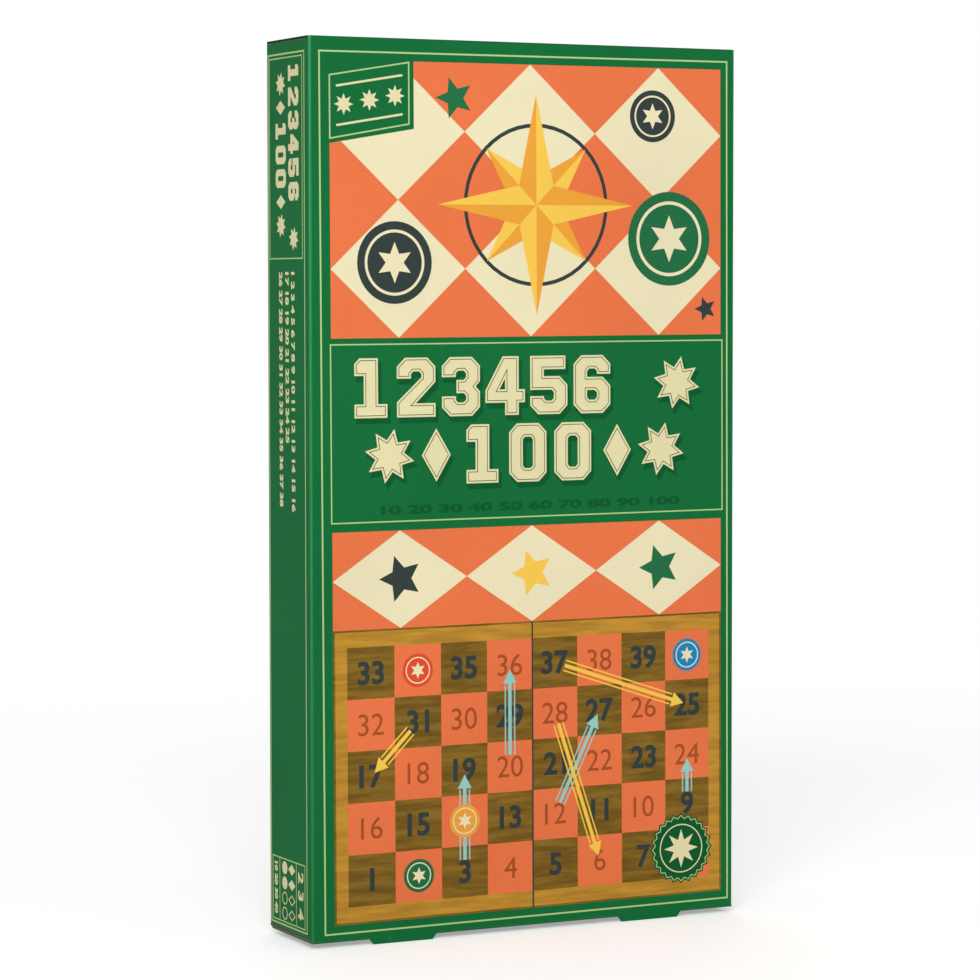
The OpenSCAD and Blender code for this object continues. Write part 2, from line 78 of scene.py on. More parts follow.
class Wire:
    """An output in a material's node tree. Arithmetic on it adds Math nodes."""

    def __init__(self, tree, socket=None):
        self.tree = tree
        self.socket = socket

    def node(self, kind, settings=None, sockets=None, output=0):
        """Adds a node with its settings, then sets or links its sockets."""
        added = self.tree.nodes.new(kind)
        for name, setting in (settings or {}).items():
            setattr(added, name, setting)
        for name, value in (sockets or {}).items():
            if isinstance(value, Wire):
                self.tree.links.new(value.socket, added.inputs[name])
            else:
                added.inputs[name].default_value = value
        return Wire(self.tree, added.outputs[output])

    def math(self, operation, first, second=0.0):
        return self.node("ShaderNodeMath", {"operation": operation}, {0: first, 1: second})

    def __add__(self, other):
        return self.math("ADD", self, other)

    def __radd__(self, other):
        return self.math("ADD", other, self)

    def __sub__(self, other):
        return self.math("SUBTRACT", self, other)

    def __rsub__(self, other):
        return self.math("SUBTRACT", other, self)

    def __mul__(self, other):
        return self.math("MULTIPLY", self, other)

    def __rmul__(self, other):
        return self.math("MULTIPLY", other, self)

    def __gt__(self, other):
        return self.math("GREATER_THAN", self, other)

    def __lt__(self, other):
        return self.math("LESS_THAN", self, other)

    def __abs__(self):
        return self.math("ABSOLUTE", self)

    def sign(self):
        return self.math("SIGN", self)

    def ease(self, low, high):
        """0 up to low, 1 from high on, and smooth between them."""
        return self.node("ShaderNodeMapRange", {"interpolation_type": "SMOOTHSTEP"},
                         {"Value": self, "From Min": low, "From Max": high})

    def nears(self, limit, far, near):
        """0 until far millimetres before the limit, and 1 from near millimetres before it."""
        return self.ease(limit - far * MM, limit - near * MM)

    def blend(self, colour, other):
        """The first colour where this is 0, the other where it is 1."""
        return self.node("ShaderNodeMix", {"data_type": "RGBA"},
                         {0: self, 6: colour, 7: other}, output=2)


def place_of(start):
    return start.node("ShaderNodeTexCoord", output="Object")


def parts_of(start, vector):
    split = start.node("ShaderNodeSeparateXYZ", sockets={0: vector})
    return [Wire(start.tree, output) for output in split.socket.node.outputs]


def length_of(start, vector):
    return start.node("ShaderNodeVectorMath", {"operation": "LENGTH"}, {0: vector}, "Value")


def noise(start, scale, detail=3.0, stretch=(1.0, 1.0, 1.0), roughness=0.55):
    mapped = start.node("ShaderNodeMapping",
                        sockets={"Vector": place_of(start), "Scale": stretch})
    return start.node("ShaderNodeTexNoise",
                      sockets={"Vector": mapped, "Scale": scale, "Detail": detail,
                               "Roughness": roughness})


def relief(start, height, strength, distance):
    """A bump of that height map. The distance is in metres."""
    return start.node("ShaderNodeBump",
                      sockets={"Height": height, "Strength": strength, "Distance": distance})


def finish_of(name, varied, **fixed):
    """A material: varied makes its changing sockets, fixed sets the others by name."""
    made = bpy.data.materials.new(name)
    made.use_nodes = True
    shader = made.node_tree.nodes["Principled BSDF"]
    for socket, value in fixed.items():
        shader.inputs[socket.replace("_", " ")].default_value = value
    for socket, value in varied(Wire(made.node_tree)).items():
        made.node_tree.links.new(value.socket, shader.inputs[socket])
    return made


# Card and print

GREEN = screen(24, 110, 58)
INKS = {
    "green": GREEN,
    "cream": screen(240, 230, 190),
    "title": screen(232, 223, 176),
    "line": screen(184, 210, 144),
    "orange": screen(237, 121, 74),
    "amber": screen(240, 166, 62),
    "yellow": screen(250, 204, 84),
    "charcoal": screen(56, 66, 64),
    "leaf": screen(40, 112, 70),
    "shadow": screen(14, 76, 42),
    "dusk": screen(18, 90, 48),
    "olive": screen(128, 98, 38),
    "rust": screen(168, 84, 44),
    "ochre": screen(190, 140, 52),
    "sky": screen(150, 208, 200),
    "blue": screen(34, 138, 190),
    "red": screen(226, 80, 52),
}
# Painted highlight for the upright creases
CREASE_HIGHLIGHT_GREEN = screen(70, 168, 106)
SCUFFED_GREEN = screen(120, 150, 112)
# Painted shade for a dark band just under the walls' top edge
TOP_EDGE_SHADE_GREEN = screen(30, 52, 36)
RAW_CARD = screen(196, 184, 160)
CUT_CARD = screen(100, 112, 90)
# The lid's cut edge, darkened with painted shade
LID_EDGE_SHADE = screen(54, 56, 44)
PRINT_GLOSS = 0.015

# The inks that show wood, with the depth of their streaks
PRINTED_WOOD = {"ochre": 0.16, "olive": 0.26}

# How much a face has to point out of the card to be printed, or into the carton to be grey
FACING = 0.35


def mottled(start, colour, depth=0.05):
    """Print on card: the colour with faint broad blotches and fine fibres."""
    blotch = noise(start, 14.0, 2.0)
    fibre = noise(start, 900.0, 2.0)
    share = (blotch * 0.7 + fibre * 0.3).ease(0.25, 0.75)
    return share.blend(shade(colour, 1 - depth), shade(colour, 1 + depth))


def print_relief(start):
    return relief(start, noise(start, 1400.0, 2.0), 0.12, 0.0001)


def printed_grain(start, colour, depth):
    """The colour with the streaks of a picture of wood."""
    streak = noise(start, 330.0, 5.0, (0.12, 0.12, 1.0), 0.65).ease(0.35, 0.65)
    return streak.blend(shade(colour, 1 - depth), shade(colour, 1 + depth))


def ink_finish(ink):
    def varied(start):
        if ink in PRINTED_WOOD:
            colour = printed_grain(start, INKS[ink], PRINTED_WOOD[ink])
        else:
            colour = mottled(start, INKS[ink])
        return {
            "Base Color": colour,
            "Roughness": noise(start, 40.0) * 0.14 + 0.36,
            "Normal": print_relief(start),
        }

    return finish_of("ink_" + ink, varied, Specular_IOR_Level=PRINT_GLOSS)


def card_finish(name, toward=(0.0, 0.0, 0.0), round_x=0.0, round_y=0.0, cut=CUT_CARD):
    """Card that is printed on its outer face, and grey and rough on its inner face. toward
    points out of the printed face, and the two rounds add the faces that point away from the
    carton's upright middle. Its edges show its layers in the colour of the cut."""

    def varied(start):
        x, y, z = parts_of(start, place_of(start))
        facing = parts_of(start, start.node("ShaderNodeTexCoord", output="Normal"))
        outward = facing[0] * toward[0] + facing[1] * toward[1] + facing[2] * toward[2]
        outward = outward + facing[0] * x.sign() * (abs(x) > CARTON_HIGH.x - 3 * MM) * round_x
        outward = outward + facing[1] * y.sign() * (abs(y) > CARTON_HIGH.y - 3 * MM) * round_y
        printed = outward > FACING
        inside = outward < -FACING

        # A painted highlight along the upright creases, weaker towards the foot
        crease_highlight = abs(x).nears(CARTON_HIGH.x, 1.5, 0.45) * abs(y).nears(CARTON_HIGH.y, 1.5, 0.45)
        crease_highlight = crease_highlight * (noise(start, 160.0) * 0.5 + 0.6)
        crease_highlight = crease_highlight * (z * (0.65 / CARTON_HIGH.z) + 0.35)
        rim = z.nears(CARTON_HIGH.z, 1.2, 0.2)
        foot = 1 - z.ease(CARTON_LOW.z + 2.2 * MM, CARTON_LOW.z + 3.6 * MM)
        scuff = (rim + foot) * noise(start, 260.0, 4.0).ease(0.6, 0.7) * 0.1
        # Painted shade: a dark band just under the top edge of the walls, darker towards the
        # right
        top_edge_shade = z.nears(CARTON_HIGH.z, 0.7, 0.4) * x.ease(-90 * MM, -20 * MM) * 0.6
        green = crease_highlight.blend(mottled(start, GREEN, 0.07), CREASE_HIGHLIGHT_GREEN)
        green = top_edge_shade.blend(scuff.blend(green, SCUFFED_GREEN), TOP_EDGE_SHADE_GREEN)

        layers = noise(start, 700.0, 3.0, (0.15, 0.15, 1.0))
        raw = layers.blend(shade(cut, 0.8), shade(cut, 1.2))
        fibres = noise(start, 420.0, 4.0).ease(0.3, 0.7)
        grey = fibres.blend(shade(RAW_CARD, 0.93), shade(RAW_CARD, 1.05))
        colour = printed.blend(inside.blend(raw, grey), green)
        rough = printed * (noise(start, 40.0) * 0.14 - 0.42) + 0.8
        return {"Base Color": colour, "Roughness": rough, "Normal": print_relief(start)}

    return finish_of(name, varied, Specular_IOR_Level=PRINT_GLOSS)


# Flat drawings, in millimetres right and down from a sheet's top left corner

def moved(u, v, turn=0.0):
    """The way from the sheet's corner to a point, with a turn about that point."""
    return Matrix.Translation((u, -v, 0.0)) @ Matrix.Rotation(turn, 4, "Z")


def polygon(points):
    shape = bmesh.new()
    shape.faces.new([shape.verts.new((u, -v, 0.0)) for u, v in points])
    shape.normal_update()
    return shape


def box(u0, v0, u1, v1):
    return polygon([(u0, v0), (u1, v0), (u1, v1), (u0, v1)])


def circle(u, v, radius, sides=48, turn=0.0):
    shape = bmesh.new()
    bmesh.ops.create_circle(shape, cap_ends=True, radius=radius, segments=sides,
                            matrix=moved(u, v, turn))
    return shape


def star(u, v, outer, inner, points, turn=0.0):
    shape = circle(0.0, 0.0, outer, 2 * points)
    shape.verts.ensure_lookup_table()
    bmesh.ops.scale(shape, vec=(inner / outer, inner / outer, 1.0),
                    verts=list(shape.verts)[1::2])
    bmesh.ops.transform(shape, verts=shape.verts, matrix=moved(u, v, turn))
    return shape


def diamond(u, v, half_w, half_h):
    return polygon([(u, v - half_h), (u + half_w, v), (u, v + half_h), (u - half_w, v)])


def bar(u0, v0, u1, v1, width, head=0.0):
    """A straight bar between two points, with an arrow head of that width at its end."""
    along = Vector((u1 - u0, v1 - v0)).normalized()
    across = Vector((-along.y, along.x))
    start, end = Vector((u0, v0)), Vector((u1, v1))
    neck = end - along * head * 0.9
    half = across * width / 2
    points = [start - half, neck - half]
    if head:
        points += [neck - across * head / 2, end, neck + across * head / 2]
    points += [neck + half, start + half]
    return polygon(points)


# The height of a numeral as a share of the font's size
DIGIT_SHARE = 0.729


def number(text, u, v, height, weight=0.0, length=None, turn=0.0):
    """Plain numerals, centred on a point, and stretched to a length if one is given. The
    weight is added all round their strokes."""
    scale = height / DIGIT_SHARE
    letters = bpy.data.curves.new("numerals", "FONT")
    letters.body = text
    letters.offset = weight / scale
    letters.resolution_u = 5
    holder = bpy.data.objects.new("numerals", letters)
    mesh = bpy.data.meshes.new_from_object(holder)
    bpy.data.objects.remove(holder)
    shape = bmesh.new()
    shape.from_mesh(mesh)
    bpy.data.meshes.remove(mesh)
    bmesh.ops.remove_doubles(shape, verts=shape.verts, dist=1e-6)
    places = [vert.co for vert in shape.verts]
    lows, highs = [Vector([end(c) for c in zip(*places)]) for end in (min, max)]
    middle = (lows + highs) / 2
    stretch = length / (highs.x - lows.x) if length else scale
    bmesh.ops.transform(
        shape, verts=shape.verts,
        matrix=moved(u, v, turn) @ Matrix.Diagonal((stretch, scale, 1.0, 1.0))
        @ Matrix.Translation(-middle))
    return shape


# Block numerals and ornaments with cut corners, on a grid that runs right and down. Each has
# its edge, clockwise, and then its holes, the other way round.

GRID_W, GRID_H = 11.5, 16.0
STEM, BEAM, CUT, NICK = 4.2, 3.7, 2.4, 0.7
IN_LEFT, IN_RIGHT = STEM, GRID_W - STEM
IN_TOP, IN_FOOT = BEAM, GRID_H - BEAM
CAP = [(0.0, CUT), (CUT, 0.0), (GRID_W - CUT, 0.0), (GRID_W, CUT)]
BASE = [(GRID_W, GRID_H - CUT), (GRID_W - CUT, GRID_H), (CUT, GRID_H), (0.0, GRID_H - CUT)]
UNDER_CAP = [(IN_RIGHT, IN_TOP + NICK), (IN_RIGHT - NICK, IN_TOP),
             (IN_LEFT + NICK, IN_TOP), (IN_LEFT, IN_TOP + NICK)]
OVER_BASE = [(IN_LEFT, IN_FOOT - NICK), (IN_LEFT + NICK, IN_FOOT),
             (IN_RIGHT - NICK, IN_FOOT), (IN_RIGHT, IN_FOOT - NICK)]


def ring_points(radii, count):
    """Points on a ring about the grid's middle, at each radius in turn."""
    turns = [math.tau * (index + 0.5) / count for index in range(count)]
    return [(GRID_W / 2 + radii[index % len(radii)] * math.sin(turn),
             GRID_H / 2 - radii[index % len(radii)] * math.cos(turn))
            for index, turn in enumerate(turns)]


GLYPHS = {
    "0": [CAP + BASE, OVER_BASE + UNDER_CAP],
    "1": [[(2.4, 0.0), (7.85, 0.0), (7.85, IN_FOOT), (10.6, IN_FOOT), (10.6, GRID_H),
           (0.9, GRID_H), (0.9, IN_FOOT), (3.65, IN_FOOT), (3.65, 4.7), (0.9, 4.7),
           (0.9, 1.5)]],
    "2": [CAP + [(GRID_W, 6.6), (5.6, IN_FOOT), (GRID_W, IN_FOOT), (GRID_W, GRID_H),
                 (0.0, GRID_H), (0.0, 11.9), (IN_RIGHT, 5.4)]
          + UNDER_CAP + [(IN_LEFT, 5.6), (0.0, 5.6)]],
    "3": [CAP + [(GRID_W, 6.6), (10.2, 8.0), (GRID_W, 9.4)] + BASE
          + [(0.0, 10.6), (IN_LEFT, 10.6)] + OVER_BASE
          + [(IN_RIGHT, 10.5), (6.6, 9.8), (4.4, 9.8), (4.4, 6.2), (6.6, 6.2), (IN_RIGHT, 5.5)]
          + UNDER_CAP + [(IN_LEFT, 5.4), (0.0, 5.4)]],
    "4": [[(5.0, 0.0), (9.9, 0.0), (9.9, 9.0), (11.8, 9.0), (11.8, 12.6), (9.9, 12.6),
           (9.9, GRID_H), (5.7, GRID_H), (5.7, 12.6), (-0.3, 12.6), (-0.3, 9.2)],
          [(5.7, 6.0), (4.0, 9.0), (5.7, 9.0)]],
    "5": [[(0.0, 0.0), (10.9, 0.0), (10.9, IN_TOP), (IN_LEFT, IN_TOP), (IN_LEFT, 5.6),
           (9.1, 5.6), (GRID_W, 8.0)] + BASE + [(0.0, 11.0), (IN_LEFT, 11.0)] + OVER_BASE
          + [(IN_RIGHT, 10.0), (6.6, 9.3), (0.0, 9.3)]],
    "6": [CAP + [(GRID_W, 5.2), (IN_RIGHT, 5.2)] + UNDER_CAP
          + [(IN_LEFT, 6.0), (9.1, 6.0), (GRID_W, 8.4)] + BASE,
          [(IN_LEFT, 9.6)] + OVER_BASE + [(IN_RIGHT, 10.3), (6.6, 9.6)]],
    "*": [ring_points((6.3, 3.7), 16)],
    "+": [[(GRID_W / 2, 0.8), (GRID_W - 1.4, GRID_H / 2), (GRID_W / 2, GRID_H - 0.8),
           (1.4, GRID_H / 2)]],
    " ": [],
}


def grown(loop, amount):
    """An edge moved outwards by that much, with its corners kept sharp."""
    corners = [Vector(corner) for corner in loop]
    shifted = []
    for index, corner in enumerate(corners):
        before = (corner - corners[index - 1]).normalized()
        after = (corners[(index + 1) % len(corners)] - corner).normalized()
        out = Vector((before.y + after.y, -before.x - after.x))
        shifted.append(corner + out * amount / (1 + before.dot(after)))
    return shifted


def glyph(mark, u, v, height, grow=0.0, turn=0.0):
    """A block numeral or ornament, centred on a point and grown all round."""
    scale = height / GRID_H
    shape = bmesh.new()
    for loop in GLYPHS[mark]:
        verts = [shape.verts.new((corner.x - GRID_W / 2, GRID_H / 2 - corner.y, 0.0))
                 for corner in grown(loop, grow / scale)]
        for index, vert in enumerate(verts):
            shape.edges.new((verts[index - 1], vert))
    bmesh.ops.triangle_fill(shape, use_beauty=True, edges=shape.edges)
    bmesh.ops.transform(shape, verts=shape.verts,
                        matrix=moved(u, v, turn) @ Matrix.Scale(scale, 4))
    return shape


def spread(marks, start, end):
    """Each mark of a row with the middle of its place between two ends."""
    pitch = (end - start) / len(marks)
    return [(mark, start + pitch * (index + 0.5)) for index, mark in enumerate(marks)]


# Thickness of an ink's film for each level that it stands over the sheet, in millimetres
INK_STEP = 0.02
INK_LEVELS = 6


class Sheet:
    """A printed face that starts at a corner, runs to its right and looks out. Inks are laid on
    it flat, and a higher level covers a lower one. The register moves the whole print."""

    def __init__(self, name, body, slot, corner, right, out, register=Matrix()):
        self.name = name
        self.body = body
        self.slot = slot
        self.inks = {}
        right, out = Vector(right), Vector(out)
        up = out.cross(right)
        turn = Matrix((right, up, out)).transposed().to_4x4()
        self.matrix = Matrix.Translation(corner) @ turn @ Matrix.Scale(MM, 4) @ register

    def lay(self, ink, level, shape, line=0.0, window=None):
        """Adds a shape, or only its outline where a line's width is given, cut to a window."""
        if line:
            faces = shape.faces[:]
            bmesh.ops.inset_region(shape, faces=faces, thickness=line, use_boundary=True,
                                   use_even_offset=True)
            bmesh.ops.delete(shape, geom=faces, context="FACES")
        if window:
            u0, v0, u1, v1 = window
            for place, normal in [((u0, 0, 0), (-1, 0, 0)), ((u1, 0, 0), (1, 0, 0)),
                                  ((0, -v0, 0), (0, 1, 0)), ((0, -v1, 0), (0, -1, 0))]:
                bmesh.ops.bisect_plane(
                    shape, geom=shape.verts[:] + shape.edges[:] + shape.faces[:],
                    plane_co=place, plane_no=normal, clear_outer=True)
        bmesh.ops.translate(shape, verts=shape.verts, vec=(0.0, 0.0, level * INK_STEP))
        mesh = bpy.data.meshes.new("shape")
        shape.to_mesh(mesh)
        shape.free()
        self.inks.setdefault(ink, bmesh.new()).from_mesh(mesh)
        bpy.data.meshes.remove(mesh)

    def done(self, finishes):
        """Turns each ink into a piece of closed thin films that stand on the sheet."""
        for ink, shape in self.inks.items():
            film = bmesh.ops.extrude_face_region(shape, geom=shape.faces[:])
            lower = [item for item in film["geom"] if isinstance(item, bmesh.types.BMVert)]
            bmesh.ops.scale(shape, vec=(1.0, 1.0, 0.0), verts=lower)
            bmesh.ops.transform(shape, verts=shape.verts, matrix=self.matrix)
            bmesh.ops.recalc_face_normals(shape, faces=shape.faces)
            for face in shape.faces:
                face.smooth = False
            piece(self.name + "_" + ink, shape, finishes[ink], self.body)


def piece(name, shape, finish, body):
    """Makes a shape into a piece of the object, with its finish as its material, under its
    body.
    """
    mesh = bpy.data.meshes.new(name)
    shape.to_mesh(mesh)
    shape.free()
    mesh.materials.append(finish)
    made = bpy.data.objects.new(name, mesh)
    bpy.context.scene.collection.objects.link(made)
    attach(made, body)
    return made


# The carton's card

INK_ROOM = INK_LEVELS * INK_STEP * MM
CREASE_R = 1.6 * MM
SMOOTH_BELOW = math.radians(30)


def inset_wall(name, node, finish):
    """A carton wall whose printed face lies back by the height of the inks on it."""
    shape = bmesh.new()
    shape.from_mesh(nodes[node].data)
    bmesh.ops.remove_doubles(shape, verts=shape.verts, dist=1e-6)
    near = 0.01 * MM
    for vert in shape.verts:
        side = Vector((math.copysign(1.0, vert.co.x), math.copysign(1.0, vert.co.y)))
        centre = Vector((CARTON_HIGH.x - CREASE_R, CARTON_HIGH.y - CREASE_R)) * side
        arm = vert.co.xy - centre
        out = arm * side
        if out.x >= 0 and out.y >= 0 and abs(arm.length - CREASE_R) < near:
            vert.co.xy = centre + arm * (1 - INK_ROOM / CREASE_R)
        elif abs(abs(vert.co.y) - CARTON_HIGH.y) < near:
            vert.co.y -= side.y * INK_ROOM
        elif abs(abs(vert.co.x) - CARTON_HIGH.x) < near:
            vert.co.x -= side.x * INK_ROOM
    for face in shape.faces:
        face.smooth = True
    for edge in shape.edges:
        edge.smooth = edge.is_manifold and edge.calc_face_angle() < SMOOTH_BELOW
    made = piece(name, shape, finish, "carton")
    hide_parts(node)


walls = card_finish("card_walls", round_x=1.0, round_y=1.0)
for side in ["front", "back", "left", "right"]:
    inset_wall(side + "_card", side + "_panel", walls)

FLAP_FINISHES = {
    "seam_flap": card_finish("card_seam", toward=(0.0, 1.0, 0.0)),
    "bottom_outer_flap": card_finish("card_bottom_outer", toward=(0.0, -1.0, -1.0)),
    "bottom_inner_flap": card_finish("card_bottom_inner", toward=(0.0, 1.0, -1.0)),
    # The lid's cut edge takes a colour darkened with painted shade
    "lid_panel": card_finish("card_lid", toward=(0.0, 0.0, 1.0), round_y=1.0, cut=LID_EDGE_SHADE),
    "tuck_flap": card_finish("card_tuck", toward=(0.0, -1.0, 0.0)),
}
bottom_dust = card_finish("card_bottom_dust", toward=(0.0, 0.0, -1.0), round_x=1.0)
top_dust = card_finish("card_top_dust", toward=(0.0, 0.0, 1.0), round_x=1.0)
for side in ["left", "right"]:
    FLAP_FINISHES["bottom_dust_flap_" + side] = bottom_dust
    FLAP_FINISHES["dust_flap_" + side] = top_dust


def dress(node, finish):
    """Gives a CAD node that stays in view its finish."""
    slots = nodes[node].data.materials
    slots.clear()
    slots.append(finish)


for node, finish in FLAP_FINISHES.items():
    dress(node, finish)


# The print on the carton

ink_finishes = {ink: ink_finish(ink) for ink in INKS}
W = (CARTON_HIGH.x - CARTON_LOW.x) / MM
D = (CARTON_HIGH.y - CARTON_LOW.y) / MM
WALL_H = 372.0
LEFT, RIGHT = CARTON_LOW.x + INK_ROOM, CARTON_HIGH.x - INK_ROOM
FRONT, BACK = CARTON_LOW.y + INK_ROOM, CARTON_HIGH.y - INK_ROOM
TOP = CARTON_HIGH.z


def carton_sheet(name, corner, right, out, register=Matrix()):
    return Sheet(name, "carton", "card_printed", corner, right, out, register)


# The front's print sits a little askew on its panel. About the panel's middle it is narrower
# than drawn, turned by an angle in radians, and moved right and up by millimetres.
ASKEW_WIDTH, ASKEW_TURN = 0.9945, 0.004
ASKEW_RIGHT, ASKEW_UP = 0.28, 0.25
MIDDLE = Vector((W / 2, -WALL_H / 2, 0.0))
askew = (Matrix.Translation(MIDDLE + Vector((ASKEW_RIGHT, ASKEW_UP, 0.0)))
         @ Matrix.Rotation(ASKEW_TURN, 4, "Z") @ Matrix.Diagonal((ASKEW_WIDTH, 1.0, 1.0, 1.0))
         @ Matrix.Translation(-MIDDLE))

front = carton_sheet("front_ink", (CARTON_LOW.x, FRONT, TOP), (1, 0, 0), (0, -1, 0), askew)
left = carton_sheet("left_ink", (LEFT, CARTON_HIGH.y, TOP), (0, -1, 0), (-1, 0, 0))
right = carton_sheet("right_ink", (RIGHT, CARTON_LOW.y, TOP), (0, 1, 0), (1, 0, 0))
back = carton_sheet("back_ink", (CARTON_HIGH.x, BACK, TOP), (-1, 0, 0), (0, 1, 0))

HAIRLINE = 0.7
FRAME_LEFT, FRAME_RIGHT = 4.25, 197.0
FRAME_TOP, FRAME_FOOT = 5.75, 368.75

# Five-pointed stars stand with a point up
STAR_TURN = math.radians(18)


def harlequin(sheet, window, across, down):
    """Orange and cream lozenges that fill a window, so many across and down."""
    u0, v0, u1, v1 = window
    half_w, half_h = (u1 - u0) / (2 * across), (v1 - v0) / (2 * down)
    sheet.lay("cream", 1, box(*window))
    for column in range(across + 1):
        for row in range(down + 1):
            sheet.lay("orange", 2,
                      diamond(u0 + 2 * column * half_w, v0 + 2 * row * half_h, half_w, half_h),
                      window=window)


def counter(sheet, u, v, radius, ink, level=3):
    """A round playing counter seen from above, with a ring and a star."""
    sheet.lay(ink, level, circle(u, v, radius))
    sheet.lay("cream", level + 1, circle(u, v, radius * 0.8), line=radius * 0.07)
    sheet.lay("cream", level + 1, star(u, v, radius * 0.5, radius * 0.24, 6))


def compass(sheet, u, v, radius):
    """An eight-pointed rose, with each point light on one side and dark on the other."""
    sheet.lay("charcoal", 3, circle(u, v, radius * 0.74), line=radius * 0.035)
    for level, first_turn, reach in [(4, 45, 0.72), (5, 0, 1.0)]:
        for quarter in range(4):
            turn = math.radians(90 * quarter + first_turn)
            tip = Vector((math.sin(turn), -math.cos(turn))) * radius * reach
            for hand, ink in [(1, "yellow"), (-1, "amber")]:
                corner = turn + hand * math.radians(45)
                waist = Vector((math.sin(corner), -math.cos(corner))) * radius * 0.25
                points = [Vector((0.0, 0.0)), tip, waist]
                sheet.lay(ink, level, polygon([(u + p.x, v + p.y) for p in points]))


# Windows and band: left, top, right, foot
WINDOW_LEFT, WINDOW_RIGHT = 9.0, 193.5
UPPER_WINDOW = (WINDOW_LEFT, 9.5, WINDOW_RIGHT, 123.0)
STRIP = (WINDOW_LEFT, 202.5, WINDOW_RIGHT, 243.0)
BOARD = (WINDOW_LEFT, 243.0, WINDOW_RIGHT, 365.0)
BAND = (8.5, 125.25, 194.5, 199.0)

front.lay("line", 1, box(FRAME_LEFT, FRAME_TOP, FRAME_RIGHT, FRAME_FOOT), line=HAIRLINE)
front.lay("line", 1, box(*BAND), line=0.55)

harlequin(front, UPPER_WINDOW, 3, 2)
compass(front, 104.0, 68.0, 46.0)
for u, v, radius, ink in [(38.0, 92.0, 17.0, "charcoal"), (168.0, 82.0, 20.0, "leaf"),
                          (160.0, 30.0, 11.0, "charcoal")]:
    counter(front, u, v, radius, ink)
front.lay("leaf", 3, star(66.0, 24.0, 9.0, 4.0, 5, STAR_TURN))
front.lay("charcoal", 3, star(186.0, 112.0, 5.5, 2.5, 5, STAR_TURN))

# The slanted plate in the upper window's corner: its ground, its line, and what stands in it
PLATE_GROUND = [(8.9, 9.4), (47.1, 9.4), (47.1, 37.1), (8.9, 43.4)]
PLATE_LINE = [(8.8, 15.5), (45.2, 9.6), (45.2, 35.4), (8.8, 41.8)]
front.lay("green", 4, polygon(PLATE_GROUND))
front.lay("line", 5, polygon(PLATE_LINE), line=0.6)
for step in range(3):
    front.lay("title", 5, star(15.4 + 11.6 * step, 27.5 - 1.9 * step, 4.4, 2.3, 8))
for rise in [-8.0, 8.0]:
    front.lay("title", 5, bar(12.0, 28.1 + rise, 42.0, 23.2 + rise, 0.9))


# Title band: block numerals in two rows, with drop shadows and a fine line inside their edges

TITLE_ROWS = ["123456 *", "*+100+*"]
NUMERAL_H, ORNAMENT_H = 24.6, 29.0
SHADOW_RIGHT, SHADOW_DOWN, SHADOW_GROW = 1.1, 2.0, 0.4
LINE_FROM, LINE_TO = -0.8, -1.1

for row, u0, u1, v in zip(TITLE_ROWS, [16.5, 24.5], [182.0, 174.5], [143.5, 171.7]):
    for mark, u in spread(row, u0, u1):
        size = ORNAMENT_H if mark == "*" else NUMERAL_H
        front.lay("dusk", 1, glyph(mark, u + SHADOW_RIGHT, v + SHADOW_DOWN, size, SHADOW_GROW))
        front.lay("title", 2, glyph(mark, u, v, size))
        front.lay("shadow", 3, glyph(mark, u, v, size, LINE_FROM))
        front.lay("title", 4, glyph(mark, u, v, size, LINE_TO))
front.lay("dusk", 1, number("10 20 30 40 50 60 70 80 90 100", 102.0, 194.0, 3.4, 0.2, 142.0))


# Lower window: lozenges over a flat drawing of a numbered board with a wooden rim

COLUMNS, ROWS = 8, 5
SQUARE = 21.5
FIELD_U = (BOARD[0] + BOARD[2] - COLUMNS * SQUARE) / 2
FIELD_V = (BOARD[1] + BOARD[3] + ROWS * SQUARE) / 2
NUMBER_SHARE = 0.44


def square_middle(count, columns, square, u, v):
    """Middle of a numbered square, with the first row at the foot and the rows turning."""
    row, step = divmod(count - 1, columns)
    column = step if row % 2 == 0 else columns - 1 - step
    return u + (column + 0.5) * square, v - (row + 0.5) * square, (row + column) % 2


def chart(sheet, rim, columns, rows, square, u, v):
    """A flat drawing of a numbered board with a wooden rim. Its field starts at u, v."""
    sheet.lay("ochre", 1, box(*rim))
    sheet.lay("olive", 2, box(*rim), line=0.8)
    for count in range(1, columns * rows + 1):
        mid_u, mid_v, step = square_middle(count, columns, square, u, v)
        half = square / 2
        area = box(mid_u - half, mid_v - half, mid_u + half, mid_v + half)
        sheet.lay("orange" if step else "olive", 2, area)
        sheet.lay("rust" if step else "charcoal", 3,
                  number(str(count), mid_u, mid_v, square * NUMBER_SHARE, 0.0 if step else 0.4))


harlequin(front, STRIP, 3, 1)
for index, ink in enumerate(["charcoal", "yellow", "leaf"]):
    front.lay(ink, 3, star(40.0 + 61.5 * index, 222.5, 10.0, 4.8, 5, STAR_TURN))
chart(front, BOARD, COLUMNS, ROWS, SQUARE, FIELD_U, FIELD_V)
front.lay("charcoal", 3, box(100.9, BOARD[1], 101.6, BOARD[3]))


def front_square(count):
    """Middle of a numbered square on the front's chart."""
    return Vector(square_middle(count, COLUMNS, SQUARE, FIELD_U, FIELD_V)[:2])


def run(first, last, ink, level):
    """A striped arrow from one numbered square of the front's chart to another."""
    along = (front_square(last) - front_square(first)).normalized()
    start = front_square(first) + along * 5.0
    end = front_square(last) - along * 2.0
    head = 6.5
    front.lay(ink, level, bar(*start, *end, 1.6, head))
    for side in [-1, 1]:
        across = Vector((-along.y, along.x)) * side * 2.2
        front.lay(ink, level, bar(*(start + across), *(end - along * head + across), 0.6))


for first, last in [(3, 19), (9, 24), (20, 36), (12, 27)]:
    run(first, last, "sky", 4)
for first, last in [(37, 25), (31, 17), (28, 6)]:
    run(first, last, "yellow", 5)
for count, ink in [(34, "red"), (2, "leaf"), (14, "amber"), (40, "blue")]:
    counter(front, *front_square(count), 7.0, ink, 5)

